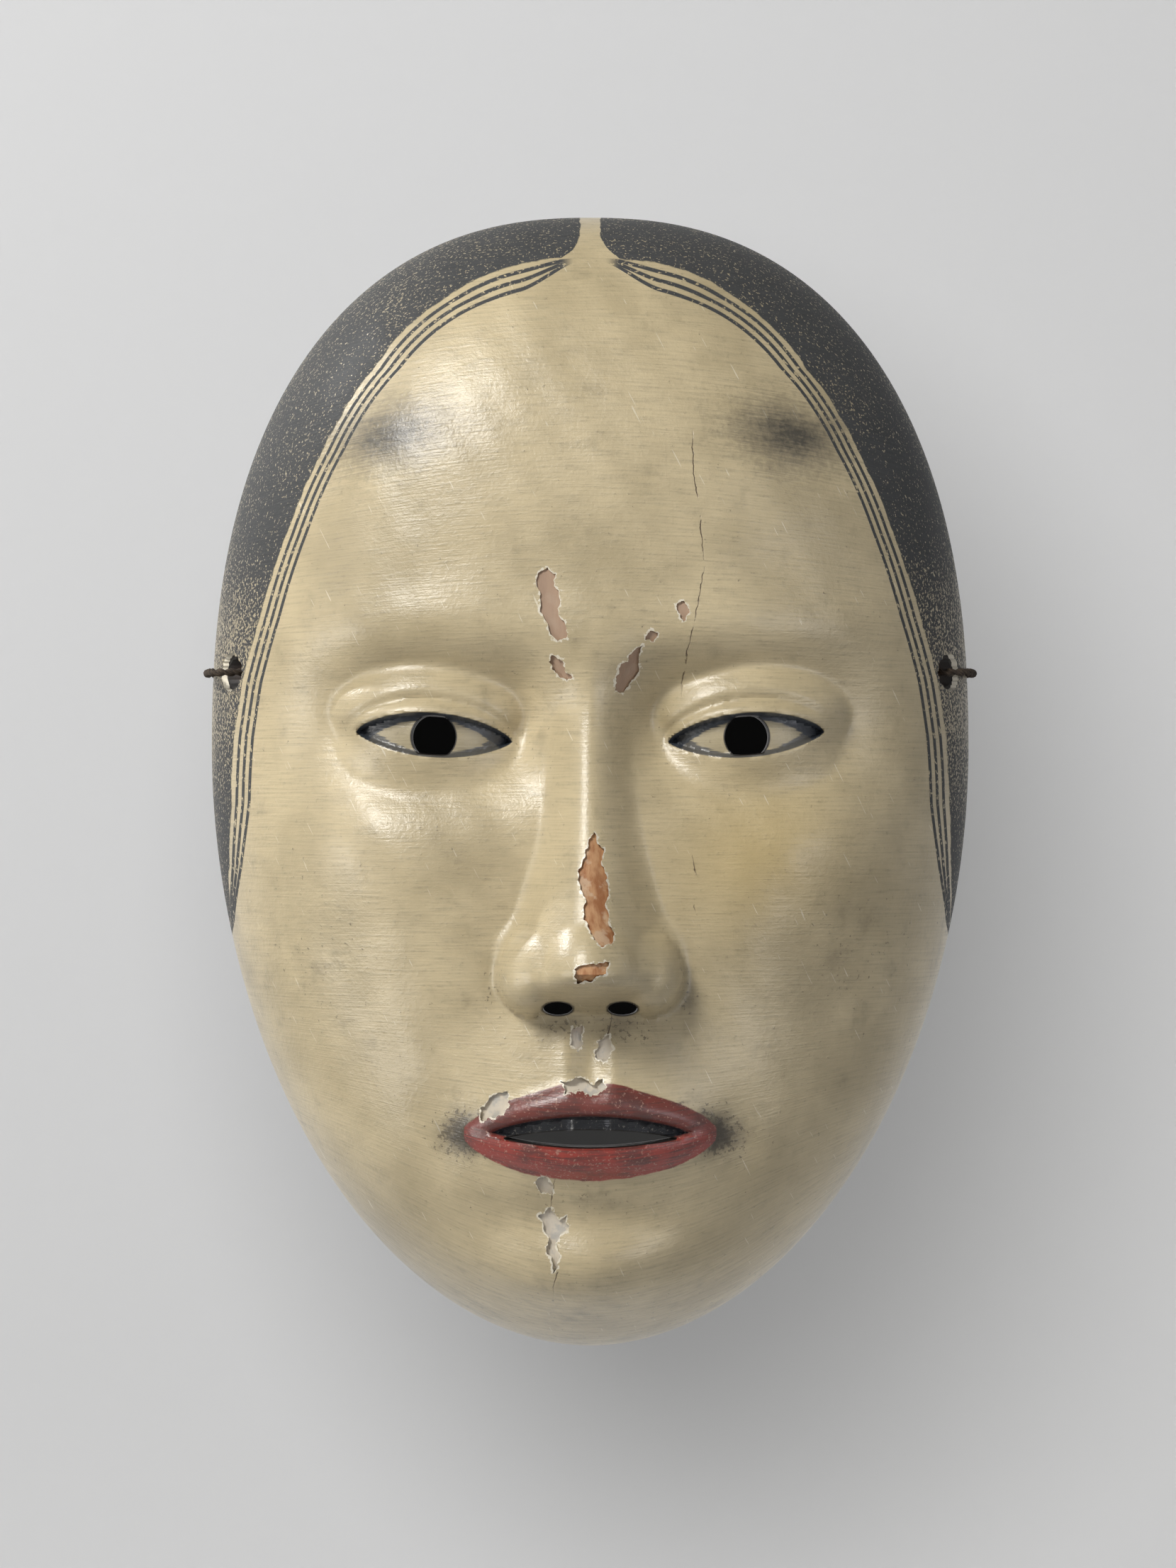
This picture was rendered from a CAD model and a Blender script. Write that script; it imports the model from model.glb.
import math
import bpy
import bmesh
import numpy as np
from mathutils import Matrix, Vector


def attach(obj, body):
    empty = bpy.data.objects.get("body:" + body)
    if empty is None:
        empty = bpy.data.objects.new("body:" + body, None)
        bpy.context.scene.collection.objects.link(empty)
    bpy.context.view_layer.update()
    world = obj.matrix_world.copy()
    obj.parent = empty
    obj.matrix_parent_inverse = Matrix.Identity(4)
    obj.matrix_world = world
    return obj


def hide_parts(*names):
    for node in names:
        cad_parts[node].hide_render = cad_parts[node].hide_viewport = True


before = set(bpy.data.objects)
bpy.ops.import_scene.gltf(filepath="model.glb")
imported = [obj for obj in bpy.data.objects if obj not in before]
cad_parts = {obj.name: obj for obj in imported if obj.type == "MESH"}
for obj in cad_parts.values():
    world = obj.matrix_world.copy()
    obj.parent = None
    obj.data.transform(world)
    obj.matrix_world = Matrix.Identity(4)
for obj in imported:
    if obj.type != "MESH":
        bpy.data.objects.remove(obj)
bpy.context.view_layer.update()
mm = 0.001
print("frame loaded:", sorted(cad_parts))

# camera: straight at the face, far enough for a flat view
camera = {"distance": 1.3, "seenHeight": 0.2925, "filmWidth": 36.0, "aim": (-0.0004, 0.0, -0.0005)}

cameraData = bpy.data.cameras.new("frontCamera")
cameraData.sensor_width = camera["filmWidth"]
cameraData.lens = camera["filmWidth"] * camera["distance"] / camera["seenHeight"]
cameraObject = bpy.data.objects.new("frontCamera", cameraData)
bpy.context.scene.collection.objects.link(cameraObject)
cameraObject.location = Vector(camera["aim"]) + Vector((0, -camera["distance"], 0))
cameraObject.rotation_euler = (math.radians(90), 0, 0)
bpy.context.scene.camera = cameraObject
print("camera placed")


# small helpers for meshes
def meshObject(name, bm):
    # turns a finished bmesh in millimetres into an object in metres
    bmesh.ops.scale(bm, verts=bm.verts, vec=(mm, mm, mm))
    mesh = bpy.data.meshes.new(name)
    bm.to_mesh(mesh)
    bm.free()
    result = bpy.data.objects.new(name, mesh)
    bpy.context.scene.collection.objects.link(result)
    return result


def gridPlaces(bm):
    return np.array([v.co[:] for v in bm.verts])


def movePoints(verts, places):
    for v, place in zip(verts, places):
        v.co = place


def meshPlaces(mesh):
    flat = np.zeros(len(mesh.vertices) * 3, np.float32)
    mesh.vertices.foreach_get("co", flat)
    return flat.reshape(-1, 3).astype(float) / mm


def paintGuides(mesh, guides):
    # for each guide, one number at each point, read by the materials
    for name, values in guides.items():
        attribute = mesh.attributes.new(name, "FLOAT", "POINT")
        attribute.data.foreach_set("value", np.asarray(values, np.float32))


def cutAway(target, tools):
    # takes each tool's volume out of the target, then throws the tools away
    for tool in tools:
        cut = target.modifiers.new("cut", "BOOLEAN")
        cut.operation = "DIFFERENCE"
        cut.solver = "MANIFOLD"
        cut.object = tool
    carved = target.evaluated_get(bpy.context.evaluated_depsgraph_get())
    mesh = bpy.data.meshes.new_from_object(carved)
    target.modifiers.clear()
    target.data = mesh
    for tool in tools:
        bpy.data.objects.remove(tool)


def smoothExceptEdges(mesh):
    mesh.shade_smooth()
    mesh.set_sharp_from_angle(angle=math.radians(50))


def standsFor(piece, node):
    # everything is on the one body
    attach(piece, "root")
    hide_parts(node)


# the hanging cord and its two knots
cord = {
    "diameter": 1.6,
    "ply": 0.47,          # radius of one strand
    "plyOffset": 0.33,    # from the cord's middle to a strand's middle
    "pitch": 4.2,         # length of one full turn of the strands
    "step": 0.42,
    "sides": 14,
    "length": 0.2365,
    "loop": [
        (60.4, -7.8, 20.2), (61.9, -4.4, 20.1), (64.2, -1.8, 20), (67.2, -0.8, 20), (69.9, -2, 20),
        (71, -5, 20), (70.8, -9, 20), (70.3, -13.2, 20), (69.9, -17.2, 20), (68.4, -20.2, 20),
        (65.2, -20.4, 20), (62.2, -17.8, 20), (60.2, -14.4, 19.8), (59.3, -10.6, 19.2),
    ],
    "sag": [
        (57.6, -7.6, 16.4), (53, -7, 10.6), (46, -7, 4.4), (36.5, -7, -1.8), (25, -7, -6.8),
        (12.5, -7, -9.8),
    ],
    "middle": (0, -7, -10.8),
}
knot = {
    "centre": (60.2, -7.8, 19.2),
    "scale": 0.47,
    "flatten": 1.5,       # how deep it is for its width
    "ply": 0.42,
    "plyOffset": 0.3,
    "pitch": 3.1,
    "step": 0.3,
    "sides": 12,
}


def smoothLine(points, steps):
    # Catmull-Rom curve through the points
    points = np.array(points, float)
    padded = np.vstack([points[:1], points, points[-1:]])
    line = []
    for i in range(len(points) - 1):
        a, b, c, d = padded[i:i + 4]
        for k in range(steps):
            t = k / steps
            bend = (2 * a - 5 * b + 4 * c - d) * t * t + (3 * b - a - 3 * c + d) * t ** 3
            line.append(0.5 * (2 * b + (c - a) * t + bend))
    return np.array(line + [points[-1]])


def evenLine(line, step):
    along = np.concatenate([[0], np.cumsum(np.linalg.norm(np.diff(line, axis=0), axis=1))])
    places = np.linspace(0, along[-1], int(along[-1] / step) + 1)
    return np.stack([np.interp(places, along, line[:, k]) for k in range(3)], axis=1), places


def crossLines(line):
    # two directions square to the line, carried along it without twisting
    along = np.gradient(line, axis=0)
    along /= np.linalg.norm(along, axis=1)[:, None]
    first = np.cross(along[0], (0, 0, 1))
    firsts = []
    for direction in along:
        first = first - direction * first.dot(direction)
        first = first / np.linalg.norm(first)
        firsts.append(first)
    firsts = np.array(firsts)
    return firsts, np.cross(along, firsts)


def twistedTube(name, line, settings, closed):
    # two strands laid round each other: a lobed section that turns along the line
    line, along = evenLine(line, settings["step"])
    firsts, seconds = crossLines(line)
    rings = len(line)
    bm = bmesh.new()
    bmesh.ops.create_grid(bm, x_segments=settings["sides"], y_segments=rings - 1, size=1)
    places = gridPlaces(bm)
    around = (places[:, 0] + 1) * math.pi
    ring = np.rint((places[:, 1] + 1) / 2 * (rings - 1)).astype(int)
    turns = max(1, round(along[-1] / settings["pitch"]))
    twist = along[ring] / along[-1] * turns * 2 * math.pi
    inner = settings["plyOffset"] * np.sin(around)
    radius = settings["plyOffset"] * np.abs(np.cos(around)) + np.sqrt(settings["ply"] ** 2 - inner ** 2)
    angle = around + twist
    points = line[ring] + radius[:, None] * (
        np.cos(angle)[:, None] * firsts[ring] + np.sin(angle)[:, None] * seconds[ring])
    uvLayer = bm.loops.layers.uv.new("strandUv")
    for face in bm.faces:
        for loop in face.loops:
            spot = places[loop.vert.index]
            loop[uvLayer].uv = ((spot[0] + 1) / 2, (spot[1] + 1) / 2 * along[-1] / 10)
    movePoints(bm.verts, points)
    bmesh.ops.remove_doubles(bm, verts=bm.verts, dist=0.002)
    if not closed:
        ends = [e for e in bm.edges if e.is_boundary]
        bmesh.ops.holes_fill(bm, edges=ends, sides=0)
    bmesh.ops.recalc_face_normals(bm, faces=bm.faces)
    result = meshObject(name, bm)
    result.data.shade_smooth()
    return result


cordHalf = cord["loop"] + cord["sag"]
cordRoute = cordHalf + [cord["middle"]] + [(-x, y, z) for x, y, z in reversed(cordHalf)]
cordLine = smoothLine(cordRoute, 12)
cordPiece = twistedTube("twistedCord", cordLine, cord, closed=False)


def knotLine(side):
    # an overhand knot, drawn up tight round the cord
    t = np.linspace(0, 2 * math.pi, 97)
    line = np.stack([
        np.sin(t) + 2 * np.sin(2 * t),
        knot["flatten"] * -np.sin(3 * t),
        np.cos(t) - 2 * np.cos(2 * t),
    ], axis=1) * knot["scale"]
    x, y, z = knot["centre"]
    return line * (side, 1, 1) + (side * x, y, z)


knotRight = twistedTube("knotRight", knotLine(1), knot, closed=True)
knotLeft = twistedTube("knotLeft", knotLine(-1), knot, closed=True)
for piece, node in ((cordPiece, "hanging_cord"), (knotRight, "cord_knot_right"),
                    (knotLeft, "cord_knot_left")):
    standsFor(piece, node)
print("cord and knots made")

# the face's surface, in millimetres in front of the rim's plane; grids are columns and rows
mask = {
    "halfWidth": 70.5,
    "halfHeight": 105.0,
    "domeDepth": 50.0,
    "wideLevel": 6.0,
    "crownPower": 2.35,
    "jawPower": 1.95,
    "coat": 0.8,
    "wall": 6.0,          # from the face to the hollow
    "gap": 0.02,          # between coat and wood
    "past": 6,            # how far a cutting shape stands out behind the rim
    "coatGrid": (240, 316),
    "innerGrid": (96, 128),
    "hollowGrid": (190, 250),
}
# thirds of the face, and five eye widths across it
hairLevel = 84.0
faceThird = (hairLevel + mask["halfHeight"]) / 3
browLevel = hairLevel - faceThird
noseLevel = browLevel - faceThird
mouthLevel = noseLevel - faceThird / 3
chinLevel = -mask["halfHeight"] + 14.7
eyeX = 28.2
eyeLevel = browLevel - 13
tipLevel = noseLevel + 8
rootLevel = eyeLevel + 10
domeDepth = mask["domeDepth"]
nose = {
    "rootDepth": 47.8,
    "rise": 19.8,           # from the root to the tip
    "tipDepth": 57.0,       # the middle of the ball at the tip
    "tipBall": (8.6, 9.5, 12.2),       # half width, half height, bulge
    "wing": (10.4, 6.2, 50.5, 9.0),    # distance from the middle, half width, depth, bulge
}
eye = {
    "halfWidth": 14.0,
    "ballDepth": 31.0,      # the ball's middle
    "ballRadius": 15.2,
    "lidThickness": 1.3,
    "lidClear": 0.35,       # from the pupil to the lids
}
lips = {"openHalfWidth": 18.5, "halfWidth": 23.0, "upperFullness": 2.3, "lowerFullness": 2.9, "tooth": 7.0}


def ease(a, b, t):
    k = np.clip((t - a) / (b - a), 0, 1)
    return k * k * (3 - 2 * k)


def bump(x, z, width, height):
    return np.exp(-(x / width) ** 2 - (z / height) ** 2)


def arch(t):
    return np.maximum(0.0, 1 - t * t)


def roundMax(a, b, k):
    h = np.maximum(k - np.abs(a - b), 0) / k
    return np.maximum(a, b) + h * h * k / 4


def roundMin(a, b, k):
    return -roundMax(-a, -b, k)


def halfOutline(up, inset):
    # the outline's power and height, above or below its widest level
    power = np.where(up, mask["crownPower"], mask["jawPower"])
    return power, mask["halfHeight"] - np.where(up, 1, -1) * mask["wideLevel"] - inset


def outlineShare(x, z, inset=0):
    # 0 in the middle of the mask and 1 on its outline
    power, high = halfOutline(z > mask["wideLevel"], inset)
    across = np.abs(x) / (mask["halfWidth"] - inset)
    rise = np.abs(z - mask["wideLevel"]) / high
    return (across ** power + rise ** power + 1e-12) ** (1 / power)


def dome(share, z, depth):
    fullness = 2.6 + 3.9 * ease(-10, -100, z) + 0.7 * ease(0, 70, z)
    return depth * np.sqrt(np.maximum(0, 1 - np.minimum(share, 1) ** fullness))


# soft forms, alike on both sides: height, distance from the middle, level, width, length
broadForms = {
    "socket": (-9.2, 27.5, eyeLevel + 3, 18.5, 13),
    "innerSocket": (-4.2, 13, eyeLevel + 3, 6.5, 10),
    "browBone": (3.0, 27, browLevel + 5, 21, 7.5),
    "betweenBrows": (1.2, 0, browLevel + 4, 9, 8),
    "cheekbone": (4.2, 41, -13, 17, 13),
    "cheek": (2.2, 28, -30, 14, 13),
    "cheekHollow": (-1.6, 44, -46, 12, 16),
    "mouthMound": (5.8, 0, mouthLevel + 3, 27, 17),
    "chinFold": (-2.4, 0, mouthLevel - 16.5, 16, 5),
    "chin": (7.5, 0, chinLevel, 19, 11),
    "mouthCorner": (-1.3, 26.5, mouthLevel - 1, 4.5, 8),
    "philtrum": (-1.0, 0, -50.5, 2.6, 6),
    "philtrumRidge": (0.4, 4.2, -51, 1.8, 6),
}
hollowForms = {
    "nose": (9, 0, tipLevel + 4, 12, 18),
    "mouth": (4, 0, mouthLevel, 24, 15),
    "chin": (5, 0, chinLevel + 3, 18, 12),
    "socket": (-8, eyeX, eyeLevel + 3, 20, 13),
    "innerSocket": (-4, 13, eyeLevel + 3, 9, 12),
}
sootedPlaces = {
    "mouthCorner": (1.25, 21.8, mouthLevel - 0.3, 6, 4.4),
    "underNose": (0.55, 5, -44, 7, 3.2),
    "besideWing": (0.35, 17.5, -37, 2.2, 6),
    "underLip": (0.3, 0, mouthLevel - 12.5, 16, 2.4),
    "innerEye": (0.25, 14, eyeLevel, 4, 5),
    "cheek": (0.22, 50, -32, 13, 12),
    "underChin": (0.18, 0, -97, 34, 9),
}


def softForms(x, z, forms):
    ax = np.abs(x)
    return sum(tall * bump(ax - aside, z - level, width, length)
               for tall, aside, level, width, length in forms.values())


def noseSurface(x, z):
    ax = np.abs(x)
    along = np.clip((rootLevel - z) / (rootLevel - tipLevel), 0, 1)
    ridge = nose["rootDepth"] + nose["rise"] * along ** 1.12
    side = ridge - 4.6 * (ax / (5.0 + 3.2 * along ** 2)) ** 2
    wide, high, bulge = nose["tipBall"]
    q = 1 - (ax / wide) ** 2 - ((z - tipLevel + 0.5) / high) ** 2
    ball = nose["tipDepth"] + bulge * np.sqrt(np.maximum(q, 0))
    side = np.where(q > 0, roundMax(side, ball, 4.0), side)
    under = 69.5 - 3.4 * (tipLevel - 2.0 - z) - 0.05 * ax * ax
    side = roundMin(side, under, 6.0)
    return side - 1.5 * np.maximum(0, z - rootLevel - 6)


def noseWing(x, z):
    aside, wide, depth, bulge = nose["wing"]
    u = (np.abs(x) - aside) / wide
    v = z - noseLevel - 6.4
    v = v / np.where(v > 0, 9.0, 6.4)
    q = 1 - u * u - v * v
    around = -12 * (np.sqrt(u * u + v * v) - 1)
    return depth + np.where(q > 0, bulge * np.sqrt(np.maximum(q, 0)), around)


def lidLines(ax):
    # place across the eye, -1 to 1, and the heights of the two lid edges
    t = (ax - eyeX) / eye["halfWidth"]
    k = arch(t)
    up = eyeLevel + 0.9 * t + 4.1 * k ** 0.72
    low = eyeLevel + 0.9 * t - 3.5 * k ** 0.85
    return t, up, low


def eyeForms(x, z, flesh):
    ax = np.abs(x)
    t, up, low = lidLines(ax)
    dx, dz = ax - eyeX, z - eyeLevel
    e = dx * dx * 0.80 + dz * dz
    middle, radius = eye["ballDepth"], eye["ballRadius"]
    ball = middle + np.sqrt(np.maximum(1, radius ** 2 - e))
    lidRadius = radius + eye["lidThickness"] + 1.5 * ease(-2, 5, dz)
    lid = middle + np.sqrt(np.maximum(1, lidRadius ** 2 - e * (1 - 0.12 * ease(0, 8, dz))))
    crease = (ax - eyeX - 0.5) / 16.0
    creaseFade = arch(crease)
    creaseLine = eyeLevel + 0.9 * crease + 7.4 * creaseFade ** 0.6 - 0.5
    formed = roundMax(flesh, lid, 4.5 - 3.0 * ease(-4, 6, dz))
    formed -= 1.2 * creaseFade ** 0.5 * np.exp(-((z - creaseLine) / 1.0) ** 2)
    opened = np.where(np.abs(t) < 1, ease(0, 0.8, up - z + 0.2) * ease(0, 0.8, z - low + 0.2), 0)
    return formed + (ball - formed) * opened


def lipLines(x):
    # the mouth's opening (up, low), the lips' outer edges (top, bottom) and their fades
    k = arch(x / lips["openHalfWidth"])
    up = mouthLevel + 3.4 * k ** 0.8
    low = mouthLevel - 2.6 * k ** 0.8
    kk = arch(x / lips["halfWidth"])
    bow = 0.9 * np.exp(-((np.abs(x) - 4.6) / 3.6) ** 2)
    top = mouthLevel + 0.3 + 8.0 * kk ** 0.75 + bow * kk
    bottom = mouthLevel - 0.3 - 8.4 * kk ** 0.62
    return up, low, top, bottom, k, kk


def mouthForms(x, z):
    up, low, top, bottom, k, kk = lipLines(x)
    upper = (top - z) / np.maximum(0.3, top - up)
    lower = (z - bottom) / np.maximum(0.3, low - bottom)
    upperLip = lips["upperFullness"] * np.sin(math.pi * np.minimum(1, 0.06 + 0.66 * upper)) - 0.3
    lipRidge = 0.3 * np.exp(-((z - top) / 0.8) ** 2)
    lowerLip = lips["lowerFullness"] * np.sin(math.pi * np.minimum(1, 0.04 + 0.66 * lower)) - 0.3
    flesh = np.where(z >= up, np.where(upper > 0, upperLip, lipRidge),
                     np.where(z <= low, np.where(lower > 0, lowerLip, 0), 1.2))
    flesh = np.where(kk > 0, flesh * kk ** 0.5, 0)
    inside = ease(0, 0.9, up - z) * ease(0, 0.9, z - low)
    teeth = 0.7 * np.sqrt(np.abs(np.cos(math.pi * x / lips["tooth"]))) * np.sqrt(k)
    return flesh + np.where(k > 0, inside * (teeth - 3.2 * k ** 0.3), 0)


def handWaver(x, z):
    # the slight unevenness that a carving knife and a brush leave
    return (0.10 * np.sin(0.21 * x + 0.13 * z + 1.3) * np.sin(0.17 * z - 0.09 * x + 0.4)
            + 0.07 * np.sin(0.37 * z + 0.11 * x + 2.1) * np.sin(0.33 * x - 0.15 * z)
            + 0.04 * np.sin(0.71 * x + 0.42 * z + 0.6))


def featureDepth(x, z):
    # everything that stands on the plain dome
    share = outlineShare(x, z)
    plain = dome(share, z, domeDepth)
    fade = ease(1, 0.88, share)
    d = plain + (softForms(x, z, broadForms) + handWaver(x, z)) * fade
    ax = np.abs(x)
    nearEye = (ax < 48) & (z - eyeLevel > -14) & (z - eyeLevel < 18)
    d = np.where(nearEye, eyeForms(x, z, d), d)
    nearNose = (ax < 24) & (z > noseLevel - 12) & (z < rootLevel + 20)
    nosed = roundMax(d, noseSurface(x, z), 5.0)
    nosed = roundMax(nosed, noseWing(x, z), 1.8 + 3.0 * ease(noseLevel + 6, noseLevel + 14, z))
    d = np.where(nearNose, nosed, d)
    return d + mouthForms(x, z) - plain


def faceDepth(x, z, share, inset=0):
    return dome(share, z, domeDepth - inset) + np.where(share < 1, featureDepth(x, z), 0)


# places where the coat has flaked off: outlines in millimetres, before they are roughened
losses = {
    "forehead": [(-9.2, 37.5), (-7.6, 38.4), (-6.2, 37.2), (-5.6, 33), (-5.2, 29), (-4.4, 25.6),
                 (-5.8, 25), (-7.4, 27), (-9, 31), (-9.6, 35)],
    "browChip": [(15.4, 31.4), (16.8, 32.4), (17.8, 30.2), (16.8, 28.6), (16.2, 30)],
    "rootChip": [(9.8, 25.4), (11, 27), (12.2, 26.6), (11.4, 25)],
    "rootLeft": [(-7, 22.6), (-5, 21.6), (-3.2, 18.6), (-4.2, 18), (-6, 19.4), (-7.4, 21.4)],
    "rootRight": [(4.4, 16.4), (6, 16), (7.4, 18.2), (8.6, 21), (9.6, 24.4), (8.4, 24), (6.8, 21.4),
                  (4.8, 19)],
    "ridge": [(0.6, -9), (2.4, -12), (2, -15), (3.2, -18.6), (2.6, -22), (3.8, -26), (4, -28.6),
              (2.2, -29.4), (0.6, -27.8), (-1.2, -24.6), (-0.8, -21), (-2, -18), (-1.4, -14.4),
              (-0.4, -11)],
    "tip": [(-2.8, -33.2), (0.6, -32.2), (3.4, -32), (2.8, -34), (0.4, -35.4), (-2.4, -35.8)],
    "philtrumUpper": [(-3.2, -44.4), (-1.4, -43.8), (-1.2, -47), (-2.2, -48.6), (-3.6, -47.2)],
    "philtrumLower": [(1.2, -46.6), (3.4, -45.4), (4.2, -48), (2.4, -50.2), (0.8, -49.4)],
    "lipMiddle": [(-5.4, -53.6), (-2.6, -53), (0.8, -54.4), (2.2, -53.2), (2.8, -54.8), (0.2, -56.4),
                  (-2.4, -55.2), (-4.6, -56)],
    "lipCorner": [(-19.8, -58.6), (-17.4, -56.2), (-14.8, -55.6), (-14.6, -58.2), (-17.2, -60.4),
                  (-19.4, -61)],
    "chinUpper": [(-9.6, -71.6), (-8, -70.8), (-6.6, -72.6), (-6.8, -74.4), (-8.8, -74)],
    "chinMiddle": [(-9.4, -78.4), (-7.4, -76.6), (-5.6, -79), (-4.2, -78), (-3.8, -80.6),
                   (-5.8, -82.4), (-5.6, -86), (-6.8, -88.6), (-7.8, -85), (-7.6, -81.8)],
}


def roughOutline(points, seed):
    # breaks each side in two, three times over, a little to one side or the other
    random = np.random.RandomState(seed)
    points = [np.array(p, float) for p in points]
    for share in (0.18, 0.22, 0.25):
        finer = []
        for a, b in zip(points, points[1:] + points[:1]):
            across = np.array((b[1] - a[1], a[0] - b[0]))
            finer += [a, (a + b) / 2 + across * share * (random.rand() * 2 - 1)]
        points = finer
    return [tuple(p) for p in points]


lossOutlines = [roughOutline(points, 20 + i) for i, points in enumerate(losses.values())]


def segmentDistance(x, z, a, b):
    a, b = np.array(a), np.array(b)
    d = b - a
    t = np.clip(((x - a[0]) * d[0] + (z - a[1]) * d[1]) / d.dot(d), 0, 1)
    return np.hypot(x - a[0] - t * d[0], z - a[1] - t * d[1])


def flakeNearness(x, z):
    # distance to the nearest flaked edge
    nearest = np.full(x.shape, 99.0)
    for outline in lossOutlines:
        xs, zs = [p[0] for p in outline], [p[1] for p in outline]
        close = (x > min(xs) - 6) & (x < max(xs) + 6) & (z > min(zs) - 6) & (z < max(zs) + 6)
        for a, b in zip(outline, outline[1:] + outline[:1]):
            nearest[close] = np.minimum(nearest[close], segmentDistance(x[close], z[close], a, b))
    return nearest


def innerDepth(x, z, share, inset):
    # its grid is coarser, so it takes the lowest of nine places, further apart at the eyes, mouth and wings
    ax = np.abs(x)
    fine = (ax > 11) & (ax < 47) & (np.abs(z - eyeLevel - 1) < 12)
    fine |= (ax < 27) & (np.abs(z - mouthLevel) < 14)
    fine |= (ax > 5) & (ax < 20) & (z < noseLevel + 22) & (z > noseLevel - 4)
    apart = np.where(fine, 1.3, 0.45)
    features = featureDepth(x, z)
    for angle in np.arange(8) * math.pi / 4:
        near = featureDepth(x + apart * math.cos(angle), z + apart * math.sin(angle))
        features = np.minimum(features, near)
    thin = 0.45 * ease(5, 1.5, flakeNearness(x, z))    # it flaked where it was thin
    return dome(share, z, domeDepth - inset) + features * ease(1, 0.97, share) + thin


gouge = {"seed": 7, "wide": 7.5, "long": 11.0, "deep": 0.55}


def gougeMarks(x, z):
    # shallow scoops of a round gouge, meeting in low ridges; gives depth and nearness to a ridge
    wide, long = gouge["wide"], gouge["long"]
    jitter = np.random.RandomState(gouge["seed"]).rand(64, 64, 2) * 0.7 + 0.15
    lean = x + 0.25 * z
    column, row = np.floor(lean / wide).astype(int), np.floor(z / long).astype(int)
    nearest = np.full(x.shape, 9.0)
    second = np.full(x.shape, 9.0)
    for i in (-1, 0, 1):
        for j in (-1, 0, 1):
            place = jitter[(column + i) % 64, (row + j) % 64]
            far = np.hypot(lean / wide - column - i - place[:, 0], z / long - row - j - place[:, 1])
            second = np.minimum(second, np.maximum(nearest, far))
            nearest = np.minimum(nearest, far)
    return gouge["deep"] * (0.45 - nearest ** 2), 1 - np.clip((second - nearest) / 0.35, 0, 1)


def hollowDepth(x, z, share, inset):
    forms = softForms(x, z, hollowForms) + gougeMarks(x, z)[0]
    return dome(share, z, domeDepth - inset) + ease(1, 0.85, share) * forms


def gatherAcross(t):
    return t * (0.75 + 0.25 * t * t)


def gatherUp(t):
    # more rows over the eyes and over the nose and mouth
    for centre, width, amount in ((0.02, 0.12, 0.35), (-0.56, 0.16, 0.35)):
        t = t - amount * (1 - t * t) * (t - centre) * np.exp(-((t - centre) / width) ** 2)
    return t


def facePlaces(u, v, inset):
    # the square grid carried onto the mask's outline
    across = u * np.sqrt(1 - v * v / 2)
    up = v * np.sqrt(1 - u * u / 2)
    s = np.maximum(np.hypot(across, up), 1e-9)
    share = s + s ** 4 * (1 - s)
    side, rise = across / s, up / s
    power, high = halfOutline(rise > 0, inset)
    k = share / (np.abs(side) ** power + np.abs(rise) ** power) ** (1 / power)
    return k * side * (mask["halfWidth"] - inset), mask["wideLevel"] + k * rise * high, share


def maskBlank(name, grid, depthOf, inset, past):
    # a solid between a curved skin and a flat back, which may stand out past the rim
    bm = bmesh.new()
    bmesh.ops.create_grid(bm, x_segments=grid[0], y_segments=grid[1], size=1)
    places = gridPlaces(bm)
    x, z, share = facePlaces(gatherAcross(places[:, 0]), gatherUp(places[:, 1]), inset)
    depth = depthOf(x, z, share, inset)
    edge = np.abs(places[:, :2]).max(axis=1) > 0.9999
    depth[edge] = 0
    movePoints(bm.verts, np.stack([x, -depth, z], axis=1))
    border = [e for e in bm.edges if e.is_boundary]
    if past > 0:
        skirt = bmesh.ops.extrude_edge_only(bm, edges=border)["geom"]
        verts = [g for g in skirt if isinstance(g, bmesh.types.BMVert)]
        bmesh.ops.translate(bm, verts=verts, vec=(0, past, 0))
        border = [e for e in bm.edges if e.is_boundary]
    bmesh.ops.holes_fill(bm, edges=border, sides=0)
    bmesh.ops.recalc_face_normals(bm, faces=bm.faces)
    return meshObject(name, bm)


# tools that cut through wood and coat
cuts = {
    "through": (-90, 20),               # from before the nose to behind the rim
    "flakes": (-90, -30),               # through the coat only
    "pupilRadius": 4.0,
    "nostril": (5.8, -40.7, 2.6, 1.25),    # place, half width, half height
    "slit": (-64.0, 31.0, 3.0),         # level, width, height
    "temple": (66.0, -19.2, 20.0),      # the middle of a cord hole
    "templeTurn": 30,
    "templeRadius": 2.6,
    "templeDrill": (-12, 12),
    "templeChip": (3.0, 3.5),           # half width and height of the coat's loss round it
    "saddle": (67.0, -4.7, 2.95, 3.0),     # place, radius, width
}


def pushedSolid(name, corners, push, turn=None):
    # a flat outline pushed into a solid
    bm = bmesh.new()
    face = bm.faces.new([bm.verts.new(corner) for corner in corners])
    pushed = bmesh.ops.extrude_face_region(bm, geom=[face])["geom"]
    moved = [g for g in pushed if isinstance(g, bmesh.types.BMVert)]
    bmesh.ops.translate(bm, verts=moved, vec=push)
    if turn:
        bmesh.ops.transform(bm, matrix=turn, verts=bm.verts)
    bmesh.ops.recalc_face_normals(bm, faces=bm.faces)
    return meshObject(name, bm)


def prism(name, outline, span, turn=None):
    # an outline seen from the front, pushed from the first depth to the second
    low, high = span
    return pushedSolid(name, [(x, low, z) for x, z in outline], (0, high - low, 0), turn)


def oval(x, z, wide, high, count=48, rough=0.0, seed=1):
    wobble = 1 + rough * (np.random.RandomState(seed).rand(count) - 0.5)
    angles = np.arange(count) / count * 2 * math.pi
    return [(x + wide * w * math.cos(a), z + high * w * math.sin(a)) for a, w in zip(angles, wobble)]


def lidded(x, z):
    # keeps a point of the pupil clear of the lids
    up, low = lidLines(x)[1:]
    return float(np.clip(z, low + eye["lidClear"], up - eye["lidClear"]))


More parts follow.
